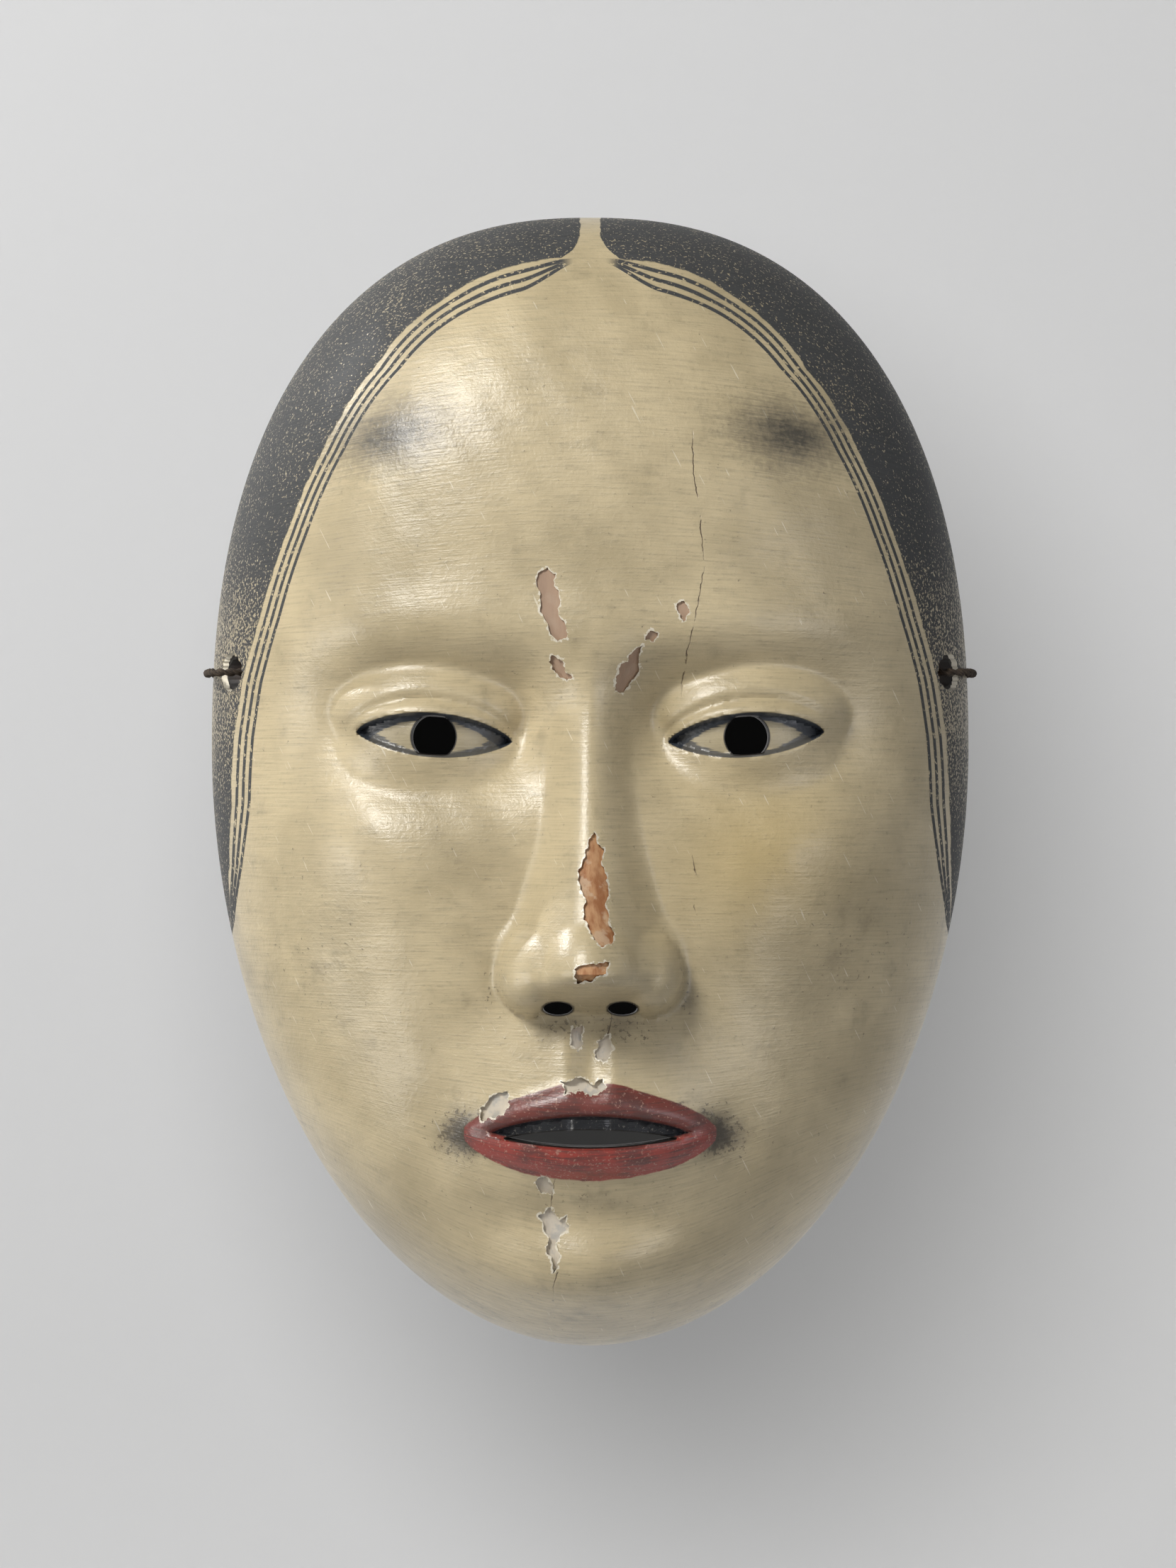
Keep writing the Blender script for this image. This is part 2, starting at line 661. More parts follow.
def holeTools(chipped):
    tools = []
    pupil = [(x, lidded(x, z)) for x, z in oval(eyeX, eyeLevel, cuts["pupilRadius"], cuts["pupilRadius"])]
    for side in (-1, 1):
        tools.append(prism("pupil", [(side * x, z) for x, z in pupil], cuts["through"]))
        x, z, wide, high = cuts["nostril"]
        tools.append(prism("nostril", oval(side * x, z, wide, high, 32), cuts["through"]))
        radius = cuts["templeRadius"]
        tools.append(templeTool(side, oval(0, 0, radius, radius, 40, chipped, 11 + side)))
        tools.append(saddleTool(side))
    level, width, height = cuts["slit"]
    across = np.linspace(-1, 1, 33)
    lower = [(width / 2 * t, level - height / 2 * arch(t)) for t in across]
    upper = [(width / 2 * t, level + height / 2 * arch(t)) for t in across[-2:0:-1]]
    tools.append(prism("slit", lower + upper, cuts["through"]))
    return tools


def templeTool(side, outline):
    x, y, z = cuts["temple"]
    angle = math.radians(-side * (90 - cuts["templeTurn"]))
    turn = Matrix.Translation((side * x, y, z)) @ Matrix.Rotation(angle, 4, "Z")
    return prism("temple", outline, cuts["templeDrill"], turn)


def saddleTool(side):
    # rounds the rim's end where the cord goes over it
    x, y, radius, wide = cuts["saddle"]
    arc = [(x + radius * math.cos(a), y + radius * math.sin(a)) for a in np.linspace(math.pi, 0, 17)]
    outline = [(x - 6, y)] + arc + [(x + 6, y), (x + 6, y + 10), (x - 6, y + 10)]
    z = cuts["temple"][2] - wide / 2
    return pushedSolid("saddle", [(side * px, py, z) for px, py in outline], (0, 0, wide))


# the ground coat
coatPiece = maskBlank("groundCoat", mask["coatGrid"], faceDepth, 0, 0)
coatInside = maskBlank("coatInside", mask["innerGrid"], innerDepth, mask["coat"], mask["past"])
flakes = [prism("flake", outline, cuts["flakes"]) for outline in lossOutlines]
for side in (-1, 1):
    flakes.append(templeTool(side, oval(0, 0, *cuts["templeChip"], 48, 0.15, 31 + side)))
cutAway(coatPiece, [coatInside] + holeTools(0.16) + flakes)
print("coat carved:", len(coatPiece.data.polygons), "faces")

# the carved body
bodyPiece = maskBlank("carvedBody", mask["innerGrid"], innerDepth, mask["coat"] + mask["gap"], 0)
hollow = maskBlank("hollow", mask["hollowGrid"], hollowDepth, mask["wall"], mask["past"])
cutAway(bodyPiece, [hollow] + holeTools(0.10))
print("body carved:", len(bodyPiece.data.polygons), "faces")


# what the painter's brush followed
def outlineDistance(x, z):
    # about how far inside the outline a point lies, in millimetres
    share = outlineShare(x, z)
    step = 0.05
    slopeX = (outlineShare(x + step, z) - outlineShare(x - step, z)) / (2 * step)
    slopeZ = (outlineShare(x, z + step) - outlineShare(x, z - step)) / (2 * step)
    return (1 - share) / np.maximum(np.hypot(slopeX, slopeZ), 0.004)


hair = {
    "levels": [-30, -26, -16, -4, 8, 18, 30, 45, 60, 75, 88, 96, 106],
    "widths": [-1.2, 0.4, 2.4, 4.2, 5.2, 6.6, 9.2, 11.6, 13.2, 13.4, 11.4, 9.2, 8.4],
    "stripe": 1.85,       # half the centre parting
    "lineGap": 1.25,
}
brow = {"aside": 36, "level": 62.6, "slope": 0.16, "halfWidth": 10, "halfHeight": 5.8}    # smudged

# fine cracks in the coat: levels, and how far aside the crack is at each
cracks = [
    ([16, 24, 31, 38, 46, 55, 63], [16.4, 17.6, 19.2, 20.4, 20, 18.8, 18.4]),
    ([-27, -22, -18, -13], [19.8, 18.4, 19.2, 18.2]),
    ([-92, -86, -78, -71], [-6.6, -5.4, -7.4, -6.2]),
    ([-50, -45, -41], [2.2, 3.4, 4.2]),
]


def crackFields(x, z):
    side = np.full(x.shape, 9.0)
    fade = np.zeros(x.shape)
    for levels, xs in cracks:
        off = x - np.interp(z, levels, xs)
        here = np.abs(off) < 5
        along = ease(levels[0] - 2, levels[0] + 4, z) * ease(levels[-1] + 2, levels[-1] - 4, z)
        side = np.where(here & (along > 0), off, side)
        fade = np.where(here, np.maximum(fade, along), fade)
    return side, fade


def holeDistance(x, z):
    # to the nearest edge of a pupil, a nostril or the mouth's slit
    ax = np.abs(x)
    up, low = lidLines(ax)[1:]
    pupil = np.hypot(ax - eyeX, z - eyeLevel) - cuts["pupilRadius"]
    pupil = np.maximum(pupil, np.maximum(z - up, low - z) + eye["lidClear"])
    nostrilX, nostrilZ, wide, high = cuts["nostril"]
    nostril = (np.hypot((ax - nostrilX) / wide, (z - nostrilZ) / high) - 1) * high
    level, width, height = cuts["slit"]
    slit = np.abs(z - level) - height / 2 * arch(x / (width / 2))
    slit += np.maximum(0, ax - width / 2)
    return np.minimum(np.minimum(pupil, nostril), slit)


def paintCoat(mesh):
    places = meshPlaces(mesh)
    x, y, z = places[:, 0], places[:, 1], places[:, 2]
    ax = np.abs(x)
    inside = outlineDistance(x, z)
    share = outlineShare(x, z)
    guides = {"rimIn": inside, "holeEdge": holeDistance(x, z), "flakeEdge": flakeNearness(x, z)}
    holeX, _, holeZ = cuts["temple"]
    guides["holeNear"] = np.sqrt((ax - holeX - 1) ** 2 + ((z - holeZ) / 1.5) ** 2)
    guides["skinDepth"] = np.where(share < 0.985, faceDepth(x, z, share) + y, 0)
    guides["crackSide"], guides["crackFade"] = crackFields(x, z)

    # hair, its three side lines and the brows
    band = np.interp(z, hair["levels"], hair["widths"])
    guides["hairIn"] = band - inside
    flare = 2.6 * ease(-4.5, 1.5, inside - band) + 5 * ease(-1.5, 3, inside - band)
    guides["parting"] = ax - hair["stripe"] - flare
    ends = ease(1, 13, ax) * ease(-34, -2, z)
    guides["lineGap"] = 0.15 + (hair["lineGap"] - 0.15) * ends
    guides["lineFade"] = ease(2.5, 5.5, ax) * ease(-33, -27, z)
    aside = ax - brow["aside"]
    above = z - brow["level"] + brow["slope"] * aside
    guides["brow"] = bump(aside, above, brow["halfWidth"], brow["halfHeight"])

    # lips, teeth and eyes: how far inside each edge
    up, low, top, bottom, k, kk = lipLines(x)
    upperLip = np.minimum(top - z, z - up + 0.6)
    lowerLip = np.minimum(z - bottom, low - z + 0.6)
    guides["lipIn"] = np.where(kk > 0, np.maximum(upperLip, lowerLip), -2)
    guides["mouthIn"] = np.where(k > 0, np.minimum(up - z, z - low), -1)
    t, lidUp, lidLow = lidLines(ax)
    past = 6 * np.maximum(0, np.abs(t) - 0.97)
    guides["eyeUp"] = np.where(np.abs(t) < 1.3, lidUp - z - past, -3)
    guides["eyeLow"] = np.where(np.abs(t) < 1.3, z - lidLow - past, -3)
    guides["eyeAcross"] = np.clip(t, -1.5, 1.5)

    # soot, a yellow stain on one cheek, and the way the brush went round the chin and the crown
    guides["soot"] = softForms(x, z, sootedPlaces) + 0.25 * ease(5, 0, inside)
    guides["stain"] = 0.9 * bump(x - 30, z + 14, 16, 13)
    curl = 0.010 * ease(-35, -85, z) - 0.0022 * ease(10, 60, z)
    guides["stroke"] = z - curl * x * x
    paintGuides(mesh, guides)
    return list(guides)


coatGuides = paintCoat(coatPiece.data)
smoothExceptEdges(coatPiece.data)


def paintBody(mesh):
    places = meshPlaces(mesh)
    x, y, z = places[:, 0], places[:, 1], places[:, 2]
    share = outlineShare(x, z, mask["wall"])
    behind = hollowDepth(x, z, share, mask["wall"]) + y
    holeX, holeY, holeZ = cuts["temple"]
    turn = math.radians(cuts["templeTurn"])
    aside = (np.abs(x) - holeX) * math.sin(turn) + (y - holeY) * math.cos(turn)
    temple = np.hypot(aside, z - holeZ) - cuts["templeRadius"] - 0.9
    paintGuides(mesh, {
        "inHollow": np.where(share < 1, ease(1.5, 0.3, np.abs(behind)), 0),
        "onRim": ease(-0.8, -0.1, y),
        "holeEdge": np.minimum(holeDistance(x, z), temple),
        "gougeRidge": gougeMarks(x, z)[1],
    })


paintBody(bodyPiece.data)
smoothExceptEdges(bodyPiece.data)
print("brush guides painted")


# materials
def colour(hexCode):
    # an sRGB hex colour as the linear values that the shader wants
    parts = [int(hexCode[i:i + 2], 16) / 255 for i in (1, 3, 5)]
    linear = [c / 12.92 if c <= 0.04045 else ((c + 0.055) / 1.055) ** 2.4 for c in parts]
    return (*linear, 1.0)


def addNode(tree, kind, settings, inputs, output=0):
    # one node: its settings, then its inputs, each a value, a hex colour or another node's output
    node = tree.nodes.new("ShaderNode" + kind)
    for name, value in settings.items():
        setattr(node, name, value)
    for name, value in inputs.items():
        if isinstance(value, bpy.types.NodeSocket):
            tree.links.new(value, node.inputs[name])
        else:
            node.inputs[name].default_value = colour(value) if isinstance(value, str) else value
    return node.outputs[output] if node.outputs else node


def startMaterial(name):
    material = bpy.data.materials.new(name)
    material.use_nodes = True
    material.node_tree.nodes.clear()
    return material, material.node_tree


def shown(material, finish):
    addNode(material.node_tree, "OutputMaterial", {}, {"Surface": finish})
    return material


add, subtract, multiply, multiplyAdd, divide = (
    {"operation": name} for name in ("ADD", "SUBTRACT", "MULTIPLY", "MULTIPLY_ADD", "DIVIDE"))
power, least, most, absolute, fraction = (
    {"operation": name} for name in ("POWER", "MINIMUM", "MAXIMUM", "ABSOLUTE", "FRACT"))
# a MapRange node has its value at 0, its range at 1 and 2 and the new range at 3 and 4
smooth = {"interpolation_type": "SMOOTHSTEP"}
# a Mix node of two colours has its factor at 0, the colours at 6 and 7 and its result at 2
tinted = {"data_type": "RGBA"}


def coatMaterial():
    # shell-white ground under tinted glue paint, burnished: satin, warm cream, greyed by handling
    material, tree = startMaterial("burnishedShellWhite")
    place = addNode(tree, "TexCoord", {}, {}, "Object")
    guides = {name: addNode(tree, "Attribute", {"attribute_name": name}, {}, "Fac") for name in coatGuides}

    # brush lines run sideways, 0.4 mm apart and about 7 mm long; scratches slant, 0.3 by 8 mm
    sideways = addNode(tree, "SeparateXYZ", {}, {0: place}, "X")
    sideways = addNode(tree, "Math", multiply, {0: sideways, 1: 140.0})
    level = addNode(tree, "Math", multiply, {0: guides["stroke"], 1: 2.6})
    lines = addNode(tree, "CombineXYZ", {}, {"X": sideways, "Z": level})
    slant = addNode(tree, "Mapping", {"vector_type": "TEXTURE"},
                    {"Vector": place, "Rotation": (0, 1.1, 0), "Scale": (0.006, 0.006, 0.00035)})
    brushed, patina, grime, grit, specks, scratch = [
        addNode(tree, "TexNoise", {},
                {"Vector": spot, "Scale": scale, "Detail": detail, "Roughness": rough})
        for spot, scale, detail, rough in (
            (lines, 1.0, 3.0, 0.6),
            (place, 42.0, 5.0, 0.6),       # patina, 20 mm across
            (place, 190.0, 4.0, 0.6),      # grime, 5 mm
            (place, 1100.0, 3.0, 0.65),    # grit, under 1 mm
            (place, 1900.0, 2.0, 0.6),     # specks, 0.5 mm
            (slant, 1.0, 1.0, 0.4),
        )]
    edgeWaver = addNode(tree, "MapRange", {}, {0: grime, 1: 0.3, 2: 0.7, 3: -0.22, 4: 0.22})
    fleck = addNode(tree, "Math", multiplyAdd, {0: patina, 1: 0.22, 2: specks})
    sooty = addNode(tree, "Math", multiplyAdd, {0: guides["soot"], 1: 0.28, 2: grit})
    smoky = addNode(tree, "Math", multiplyAdd, {0: grime, 1: 0.9, 2: guides["soot"]})
    smudge = addNode(tree, "Math", add, {0: brushed, 1: grit})
    smudge = addNode(tree, "Math", multiplyAdd, {0: smudge, 1: 0.7, 2: guides["brow"]})
    smudge = addNode(tree, "MapRange", {}, {0: smudge, 1: 0.76, 2: 1.72, 4: 0.95})
    yellow = addNode(tree, "Math", multiply, {0: guides["stain"], 1: 0.45})
    # rows: a pattern, where it starts to show, where it shows fully, and how strongly
    patches, streaks, dirt, sooty, scratch, smoky, chips, teeth, painted = [
        addNode(tree, "MapRange", smooth, {0: pattern, 1: none, 2: full, 4: share})
        for pattern, none, full, share in (
            (patina, 0.35, 0.7, 1.0), (brushed, 0.35, 0.75, 0.38), (grime, 0.55, 0.8, 0.35),
            (sooty, 0.69, 0.76, 0.65), (scratch, 0.75, 0.79, 0.5), (smoky, 0.52, 1.6, 0.9),
            (fleck, 0.69, 0.78, 0.6), (guides["mouthIn"], 0.25, 0.5, 1.0),
            (guides["holeEdge"], 0.35, 0.1, 1.0),
        )]

    # hair: a flat ink band with a parting, rubbed through along the rim and round the cord holes
    band = addNode(tree, "Math", least, {0: guides["hairIn"], 1: guides["parting"]})
    band = addNode(tree, "Math", add, {0: band, 1: edgeWaver})
    band = addNode(tree, "MapRange", smooth, {0: band, 1: -0.12, 2: 0.12})
    nearHole = addNode(tree, "MapRange", smooth, {0: guides["holeNear"], 1: 20.0, 2: 3.0, 4: 0.11})
    nearRim = addNode(tree, "MapRange", smooth, {0: guides["rimIn"], 1: 2.0, 2: 0.1, 4: 0.05})
    rubbed = addNode(tree, "Math", add, {0: nearHole, 1: nearRim})
    rubbed = addNode(tree, "Math", add, {0: rubbed, 1: fleck})
    rubbed = addNode(tree, "MapRange", smooth, {0: rubbed, 1: 0.70, 2: 0.80, 4: 0.75})
    rubbed = addNode(tree, "Math", subtract, {0: 1.0, 1: rubbed})
    band = addNode(tree, "Math", multiply, {0: band, 1: rubbed})

    # three fine lines that run beside the band and join it at both ends
    course = addNode(tree, "Math", divide, {0: guides["hairIn"], 1: guides["lineGap"]})
    course = addNode(tree, "Math", multiply, {0: course, 1: -1.0})
    beside = course
    for step, amount in ((add, 9.6), (fraction, 0.0), (subtract, 0.5), (absolute, 0.0),
                         (multiply, guides["lineGap"])):
        beside = addNode(tree, "Math", step, {0: beside, 1: amount})
    drawn, begins, ends, unworn = [
        addNode(tree, "MapRange", smooth, {0: pattern, 1: none, 2: full})
        for pattern, none, full in (
            (beside, 0.36, 0.22), (course, 0.2, 0.4), (course, 3.4, 3.3), (grit, 0.66, 0.56))]
    for share in (begins, ends, guides["lineFade"], unworn):
        drawn = addNode(tree, "Math", multiply, {0: drawn, 1: share})
    ink = addNode(tree, "Math", most, {0: band, 1: drawn})

    # eyes: slate line round the opening, heavier above, widening into both corners in short strokes
    across = addNode(tree, "Math", absolute, {0: guides["eyeAcross"]})
    across = addNode(tree, "Math", power, {0: across, 1: 2.6})
    stroke = addNode(tree, "Math", multiplyAdd, {0: brushed, 1: 1.6, 2: -0.8})
    corner = addNode(tree, "Math", multiplyAdd, {0: across, 1: 3.0, 2: stroke})
    above = addNode(tree, "Math", subtract, {0: corner, 1: guides["eyeUp"]})
    below = addNode(tree, "Math", subtract, {0: corner, 1: guides["eyeLow"]})
    opened = addNode(tree, "Math", least, {0: guides["eyeUp"], 1: guides["eyeLow"]})

    # lips of dull vermilion, scratched and darkened, and blackened teeth
    lip = addNode(tree, "Math", add, {0: guides["lipIn"], 1: edgeWaver})
    height = addNode(tree, "SeparateXYZ", {}, {0: place}, "Z")
    scuffed = addNode(tree, "Math", add, {0: grime, 1: brushed})
    above, below, opened, lip, upper, scuffed = [
        addNode(tree, "MapRange", smooth, {0: pattern, 1: none, 2: full, 4: share})
        for pattern, none, full, share in (
            (above, -1.35, -1.0, 1.0), (below, -0.8, -0.4, 0.85),
            (opened, -0.35, -0.1, 1.0), (lip, -0.15, 0.15, 1.0),
            (height, -0.0665, -0.0605, 1.0), (scuffed, 0.88, 1.2, 0.8),
        )]
    liner = addNode(tree, "Math", most, {0: above, 1: below})
    liner = addNode(tree, "Math", multiply, {0: liner, 1: opened})
    clouded = addNode(tree, "Math", multiply, {0: opened, 1: 0.5})
    skin, inkTone, red, black = [
        addNode(tree, "Mix", tinted, {0: share, 6: first, 7: second}, 2)
        for share, first, second in (
            (patches, "#C8B895", "#AFA07F"), (brushed, "#353637", "#555657"),
            (upper, "#983C33", "#753A33"), (patches, "#26282D", "#44474A"),
        )]
    red = addNode(tree, "Mix", tinted, {0: scuffed, 6: red, 7: "#523632"}, 2)
    red = addNode(tree, "Mix", tinted, {0: chips, 6: red, 7: "#B08C7C"}, 2)
    black = addNode(tree, "Mix", tinted, {0: chips, 6: black, 7: "#8C8880"}, 2)

    # fine cracks, and the white ground along broken edges
    crack = addNode(tree, "Math", multiplyAdd, {0: grime, 1: 2.4, 2: guides["crackSide"]})
    crack = addNode(tree, "Math", subtract, {0: crack, 1: 1.2})
    crack = addNode(tree, "Math", absolute, {0: crack})
    lifted = addNode(tree, "Math", multiplyAdd, {0: grit, 1: 2.2, 2: guides["flakeEdge"]})
    chipped = addNode(tree, "Math", least, {0: guides["flakeEdge"], 1: guides["holeNear"]})
    crack, broken, lifted, chipped, wall = [
        addNode(tree, "MapRange", smooth, {0: pattern, 1: none, 2: full, 4: share})
        for pattern, none, full, share in (
            (crack, 0.14, 0.05, 1.0), (grime, 0.42, 0.52, 1.0), (lifted, 1.36, 1.20, 0.85),
            (chipped, 6.0, 4.0, 1.0), (guides["skinDepth"], 0.05, 0.2, 1.0),
        )]
    for share in (broken, guides["crackFade"]):
        crack = addNode(tree, "Math", multiply, {0: crack, 1: share})
    wall = addNode(tree, "Math", multiply, {0: wall, 1: chipped})
    lifted = addNode(tree, "Math", most, {0: lifted, 1: wall})

    # what lies over the cream of the face, in turn: where it shows, and its colour
    for shows, tone in (
        (streaks, "#958A70"),
        (dirt, "#8E8267"),
        (yellow, "#B79C58"),
        (sooty, "#5E5340"),
        (scratch, "#E6DFCC"),
        (smoky, "#3B342A"),
        (smudge, "#403D37"),
        (ink, inkTone),
        (clouded, "#8F866F"),
        (liner, "#343940"),
        (lip, red),
        (teeth, black),
        (crack, "#5A4A36"),
        (lifted, "#DCD5C4"),
        (painted, "#1C1815"),
    ):
        skin = addNode(tree, "Mix", tinted, {0: shows, 6: skin, 7: tone}, 2)

    # brush lines and grit in relief, the ink a little proud and duller than the burnished ground
    relief = grit
    for pattern, amount in ((brushed, 0.7), (ink, 0.5), (crack, -2.0)):
        relief = addNode(tree, "Math", multiplyAdd, {0: pattern, 1: amount, 2: relief})
    normal = addNode(tree, "Bump", {}, {"Height": relief, "Strength": 0.6, "Distance": 0.00015})
    satin = addNode(tree, "MapRange", {}, {0: brushed, 1: 0.3, 2: 0.7, 3: 0.36, 4: 0.50})
    for pattern, amount in ((ink, 0.16), (teeth, -0.2)):
        satin = addNode(tree, "Math", multiplyAdd, {0: pattern, 1: amount, 2: satin})
    polish = addNode(tree, "MapRange", {}, {0: ink, 3: 0.6, 4: 0.05})
    sheen = addNode(tree, "MapRange", {}, {0: ink, 3: 0.5, 4: 0.1})
    finish = addNode(tree, "BsdfPrincipled", {}, {
        "Base Color": skin, "Roughness": satin, "Normal": normal, "Specular IOR Level": sheen,
        "Coat Weight": polish, "Coat Roughness": 0.28, "Coat Normal": normal})
    return shown(material, finish)


def bodyMaterial():
    # cypress, straight-grained and orange-brown; the hollow is coated with dark worn lacquer
    material, tree = startMaterial("lacqueredCypress")
    place = addNode(tree, "TexCoord", {}, {}, "Object")
    hollow, ridge, rim, edge = [
        addNode(tree, "Attribute", {"attribute_name": name}, {}, "Fac")
        for name in ("inHollow", "gougeRidge", "onRim", "holeEdge")]
    rings = addNode(tree, "Mapping", {}, {"Vector": place, "Scale": (620, 620, 22)})    # rings 1.6 mm apart
    fibres = addNode(tree, "Mapping", {}, {"Vector": place, "Scale": (3000, 3000, 120)})
    grain, fibre, crumbs = [
        addNode(tree, "TexNoise", {},
                {"Vector": spot, "Scale": scale, "Detail": detail, "Roughness": rough})
        for spot, scale, detail, rough in (
            (rings, 1.0, 4.0, 0.6), (fibres, 1.0, 2.0, 0.5), (place, 260.0, 4.0, 0.6))]
    height = addNode(tree, "SeparateXYZ", {}, {0: place}, "Z")
    wearing = addNode(tree, "Math", multiplyAdd, {0: crumbs, 1: 0.9, 2: ridge})
    grainTone, crumbs, primed, bluish, painted, worn = [
        addNode(tree, "MapRange", smooth, {0: pattern, 1: none, 2: full, 4: share})
        for pattern, none, full, share in (
            (grain, 0.35, 0.65, 1.0), (crumbs, 0.50, 0.62, 0.7),
            (height, 0.002, 0.012, 0.85), (height, -0.040, -0.046, 0.8),
            (edge, 0.8, 0.4, 1.0), (wearing, 1.05, 1.7, 0.28),
        )]
    wood, primedLow, bare, lacquer = [
        addNode(tree, "Mix", tinted, {0: share, 6: first, 7: second}, 2)
        for share, first, second in (
            (grainTone, "#B98E66", "#96623C"), (crumbs, "#CFCBBE", "#9DA3A6"),
            (grainTone, "#7C5A3E", "#4E3524"), (worn, "#3E291D", "#7E5838"),
        )]
    # the bare wood, then what lies over it in turn
    for shows, tone in (
        (crumbs, "#C3A98D"),
        (primed, "#A68F7C"),
        (bluish, primedLow),
        (rim, bare),
        (painted, "#1A1512"),
        (hollow, lacquer),
    ):
        wood = addNode(tree, "Mix", tinted, {0: shows, 6: wood, 7: tone}, 2)
    gloss = addNode(tree, "MapRange", {}, {0: hollow, 3: 0.72, 4: 0.34})
    gloss = addNode(tree, "Math", multiplyAdd, {0: worn, 1: 0.3, 2: gloss})
    relief = addNode(tree, "Math", multiplyAdd, {0: fibre, 1: 0.5, 2: grain})
    normal = addNode(tree, "Bump", {}, {"Height": relief, "Strength": 0.5, "Distance": 0.00012})
    finish = addNode(tree, "BsdfPrincipled", {}, {
        "Base Color": wood, "Roughness": gloss, "Normal": normal, "IOR": 1.5})
    return shown(material, finish)


def cordMaterial():
    # dark-dyed hemp, hand-laid: dull, hairy fibres that follow the strands
    material, tree = startMaterial("dyedHempCord")
    strand = addNode(tree, "UVMap", {"uv_map": "strandUv"}, {})
    lengths = addNode(tree, "Mapping", {}, {"Vector": strand, "Scale": (16, 9, 1)})
    fibre = addNode(tree, "TexNoise", {},
                    {"Vector": lengths, "Scale": 1.0, "Detail": 4.0, "Roughness": 0.7})
    tone = addNode(tree, "MapRange", smooth, {0: fibre, 1: 0.35, 2: 0.7})
    shade = addNode(tree, "Mix", tinted, {0: tone, 6: "#221B16", 7: "#55483A"}, 2)
    normal = addNode(tree, "Bump", {}, {"Height": fibre, "Strength": 0.8, "Distance": 0.00015})
    finish = addNode(tree, "BsdfPrincipled", {}, {"Base Color": shade, "Roughness": 0.86, "Normal": normal})
    return shown(material, finish)


def finishWith(material, *pieces):
    for piece in pieces:
        piece.data.materials.clear()
        piece.data.materials.append(material)


finishWith(coatMaterial(), coatPiece)
finishWith(bodyMaterial(), bodyPiece)
finishWith(cordMaterial(), cordPiece, knotRight, knotLeft)
standsFor(coatPiece, "face_coat")
standsFor(bodyPiece, "carved_body")
print("materials made")

# floor, backdrop and light
studio = {
    "floorLevel": -0.75,
    "radius": 2.3,
    "bend": 0.45,
    "wallHeight": 2.4,
    # cards: centre, half width, half height
    "darkCard": ((0, 0.42, -0.016), 0.052, 0.082),      # seen only through the eyes and the mouth
    "greyCard": ((0, 0.40, -0.082), 0.030, 0.012),      # the paler dark that shows through the mouth
    "shadeCard": ((-0.592, 1.375, 0.502), 0.099, 0.147),    # shades the wall, for the mask's soft shadow
}


def makeBackdrop():
    # a round floor that curves up into a wall on every side
    bm = bmesh.new()
    profile = [(0.0, studio["floorLevel"])]
    for k in range(17):
        angle = math.radians(90 * k / 16)
        profile.append((studio["radius"] - studio["bend"] * (1 - math.sin(angle)),
                        studio["floorLevel"] + studio["bend"] * (1 - math.cos(angle))))
    profile.append((studio["radius"], studio["wallHeight"]))
    verts = [bm.verts.new((x / mm, 0, z / mm)) for x, z in profile]
    edges = [bm.edges.new(pair) for pair in zip(verts, verts[1:])]
    bmesh.ops.spin(bm, geom=verts + edges, cent=(0, 0, 0), axis=(0, 0, 1), angle=2 * math.pi, steps=96,
                   use_merge=True)
    bmesh.ops.remove_doubles(bm, verts=bm.verts, dist=0.01)
    bmesh.ops.recalc_face_normals(bm, faces=bm.faces)
    bmesh.ops.reverse_faces(bm, faces=bm.faces)
    result = meshObject("backdrop", bm)
    result.data.shade_smooth()
    return result


def plainMaterial(name, hexCode, rough):
    material, tree = startMaterial(name)
    finish = addNode(tree, "BsdfPrincipled", {}, {"Base Color": hexCode, "Roughness": rough})
    return shown(material, finish)


def flockMaterial(name, hexCode):
    # dark from the front, open from behind, so that the card never hides the mask's hollow
    material, tree = startMaterial(name)
    flock = addNode(tree, "BsdfDiffuse", {}, {"Color": hexCode})
    opened = addNode(tree, "BsdfTransparent", {}, {})
    behind = addNode(tree, "NewGeometry", {}, {}, "Backfacing")
    finish = addNode(tree, "MixShader", {}, {0: behind, 1: flock, 2: opened})
    return shown(material, finish)


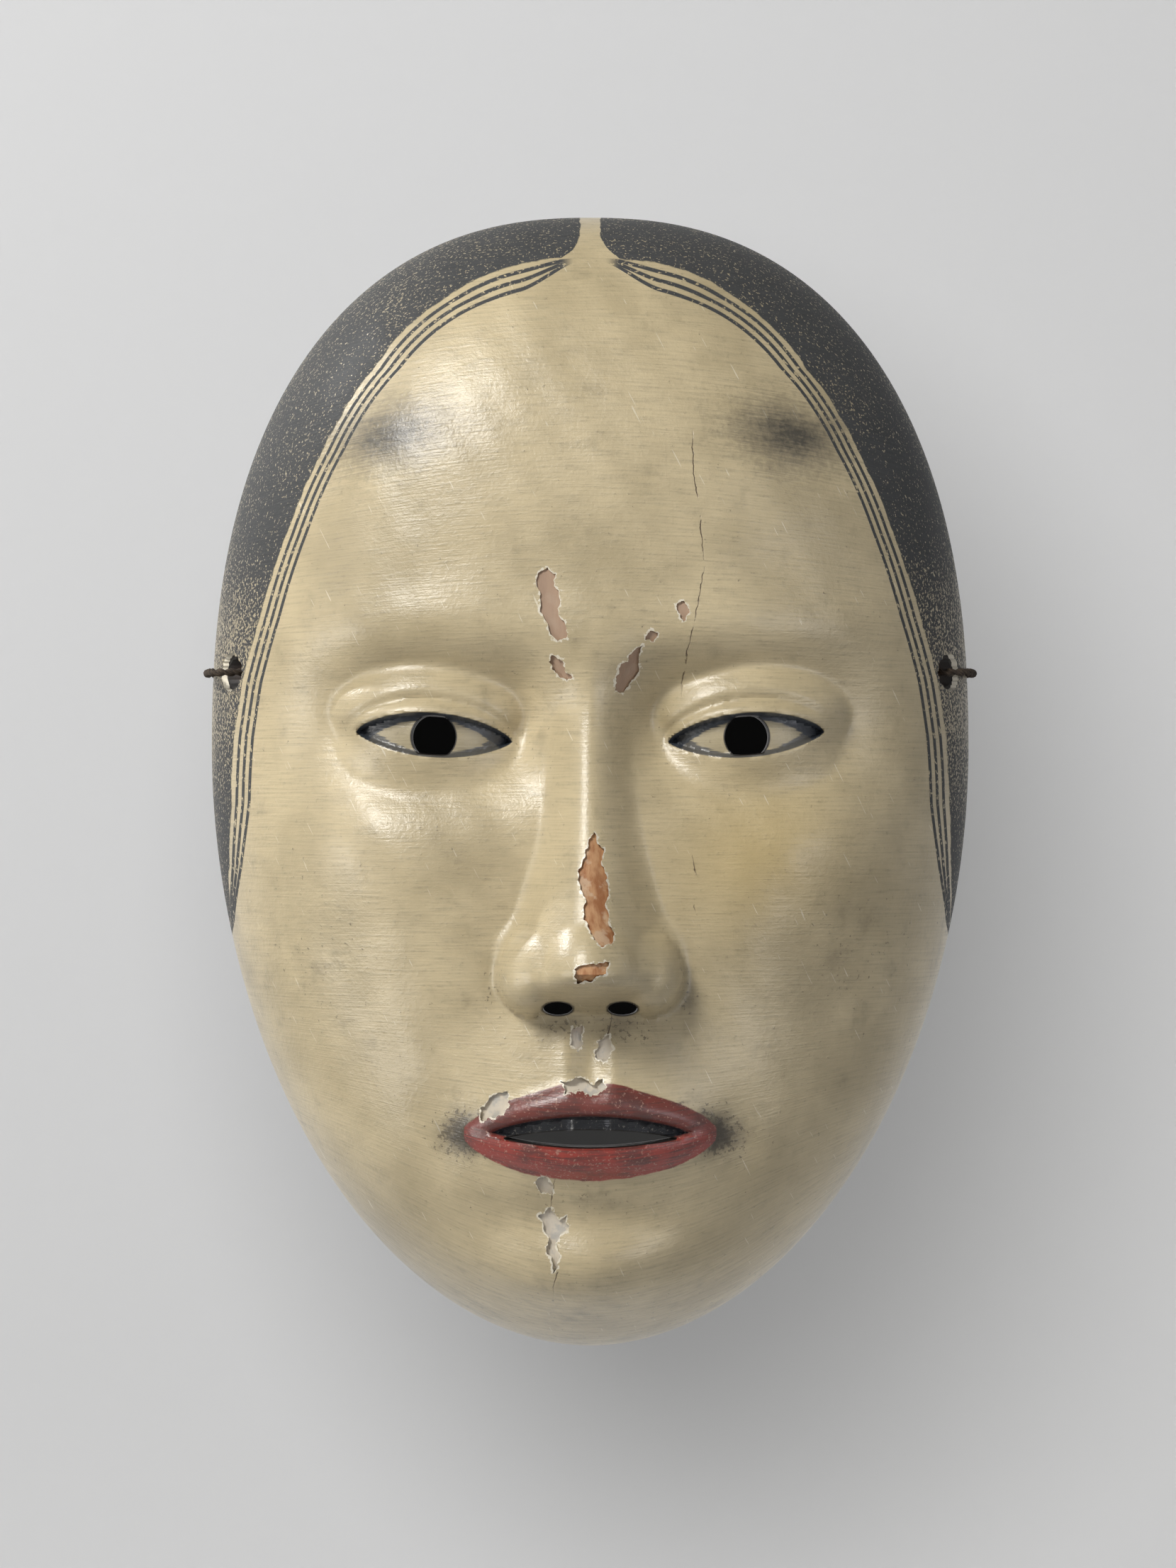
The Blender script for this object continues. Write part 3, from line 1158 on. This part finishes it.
def studioCard(name, place, wide, high, material):
    # an oval card in metres that faces the camera
    bm = bmesh.new()
    x, y, z = place
    outline = oval(x / mm, z / mm, wide / mm, high / mm, 32)
    face = bm.faces.new([bm.verts.new((px, y / mm, pz)) for px, pz in outline])
    face.normal_update()
    if face.normal.y > 0:
        face.normal_flip()
    result = meshObject(name, bm)
    finishWith(material, result)
    return result


backdrop = makeBackdrop()
finishWith(plainMaterial("paleGreyPaper", "#CDCDCD", 0.9), backdrop)
darkCard = studioCard("darkCard", *studio["darkCard"], flockMaterial("blackFlock", "#0B0B0B"))
greyCard = studioCard("greyCard", *studio["greyCard"], flockMaterial("greyFlock", "#3A3A3A"))
shadeCard = studioCard("shadeCard", *studio["shadeCard"], plainMaterial("blackPaper", "#0B0B0B", 1.0))
shadeCard.visible_camera = False


def areaLight(name, place, aim, size, power, hexCode, spread=180):
    data = bpy.data.lights.new(name, "AREA")
    data.shape = "DISK"
    data.size = size
    data.energy = power
    data.spread = math.radians(spread)
    data.color = colour(hexCode)[:3]
    light = bpy.data.objects.new(name, data)
    bpy.context.scene.collection.objects.link(light)
    light.location = place
    light.rotation_euler = (Vector(place) - Vector(aim)).to_track_quat("Z", "Y").to_euler()


areaLight("keyLight", (-0.85, -1.15, 1.12), (0, 0, 0.02), 0.6, 3.1, "#FFFDF8", 60)
areaLight("sideLight", (-1.6, -0.75, -0.2), (0, 0, 0), 0.6, 8, "#FFFDF8")
areaLight("fillLight", (1.2, -1.3, 0.0), (0, 0, 0), 0.9, 4.9, "#F6F8FF")
areaLight("wallLight", (-1.25, 0.45, 1.1), (-0.3, 2.3, 0.4), 0.18, 46, "#FFFFFF")
areaLight("backLight", (0, 1.74, 0), (0, 0, 0), 0.1, 2.6, "#FFFDF8", 60)      # hidden behind the mask
world = bpy.data.worlds.new("studio")
bpy.context.scene.world = world
world.use_nodes = True
background = world.node_tree.nodes["Background"].inputs
background["Color"].default_value = colour("#E8E8E8")
background["Strength"].default_value = 0.10
bpy.context.scene.view_settings.view_transform = "Standard"
print("studio set")
